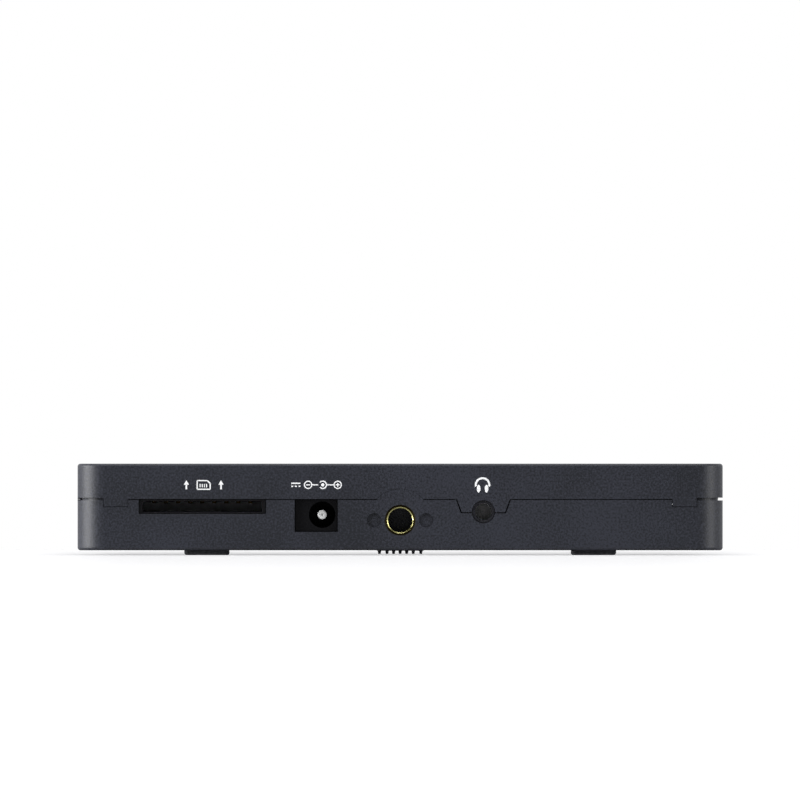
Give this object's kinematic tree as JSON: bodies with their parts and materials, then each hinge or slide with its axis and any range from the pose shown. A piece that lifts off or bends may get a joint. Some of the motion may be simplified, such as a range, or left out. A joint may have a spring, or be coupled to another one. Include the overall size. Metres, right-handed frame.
{
  "type": "camera field monitor",
  "caption": "Flat field monitor for a camera: two-shell case, glass front, menu dial, power button, card and power ports, threaded sockets and a rear battery bay.",
  "frame": {"origin": "centre of the case on the plane that the rubber feet stand on", "axes": "+Z towards the viewer of the screen, +Y towards the upper edge with the menu dial, +X to the viewer's right"},
  "size_m": [0.134, 0.0848, 0.019],
  "materials": {
    "case_moulded": "fine textured matt",
    "dial_plastic": "satin",
    "black_moulded": "matt",
    "white_plastic": "satin",
    "glass": "polished",
    "panel_glass": "satin",
    "white_film": "satin",
    "black_tape": "matt",
    "polyimide": "satin",
    "circuit_board": "satin",
    "soft_pad": "matt",
    "aluminium_sheet": "satin",
    "steel": "satin",
    "black_steel": "satin",
    "nickel": "polished",
    "brass": "machined",
    "gold_contacts": "polished",
    "rubber": "matt"
  },
  "bodies": {
    "housing": {"rear_cover": "case_moulded", "front_frame": "case_moulded", "cover_glass": "glass", "glass_tape": "black_tape", "lcd_panel": "panel_glass", "backlight": "white_film", "lcd_tape": "black_tape", "lcd_flex": "polyimide", "touch_flex": "polyimide", "main_board": "circuit_board", "processor": "black_moulded", "memory_chips": "black_moulded", "thermal_pad": "soft_pad", "heat_spreader": "aluminium_sheet", "board_screws": "steel", "case_screws": "black_steel", "tripod_socket_top": "brass", "tripod_socket_bottom": "brass", "power_switch": "black_moulded", "dial_encoder": "black_moulded", "dial_spring": "steel", "sd_card_slot": "black_moulded", "sd_contacts": "gold_contacts", "dc_jack": "black_moulded", "dc_pin": "nickel", "headphone_jack": "black_moulded", "hdmi_in": "nickel", "hdmi_out": "nickel", "hdmi_inserts": "black_moulded", "contact_block": "black_moulded", "battery_terminals": "gold_contacts", "latch_springs": "steel", "latch_bracket": "steel", "bracket_screws": "steel", "rubber_feet": "rubber"},
    "power_button": {"power_button": "case_moulded", "switch_plunger": "white_plastic"},
    "dial_fork": {"dial_carriage": "white_plastic", "dial_axle": "steel"},
    "menu_dial": {"menu_dial": "dial_plastic"},
    "battery_latch": {"battery_latch": "dial_plastic"}
  },
  "joints": [
    {"name": "power_press", "type": "slide", "parent": "housing", "child": "power_button", "axis": [0, -1, 0], "range_m": [0, 0.0004], "stiffness_N_per_m": 1500, "springref_m": -0.0002},
    {"name": "dial_press", "type": "slide", "parent": "housing", "child": "dial_fork", "axis": [0, -1, 0], "range_m": [0, 0.0005], "stiffness_N_per_m": 1500, "springref_m": -0.0002, "deforming": ["dial_spring"]},
    {"name": "dial_turn", "type": "hinge", "parent": "dial_fork", "child": "menu_dial", "pos_m": [0.03715, 0.0364, 0.00772], "axis": [0, 0, 1], "continuous": true},
    {"name": "latch_press", "type": "slide", "parent": "housing", "child": "battery_latch", "axis": [0, 0, 1], "range_m": [0, 0.0015], "stiffness_N_per_m": 800, "springref_m": -0.0005, "deforming": ["latch_springs"]}
  ]
}
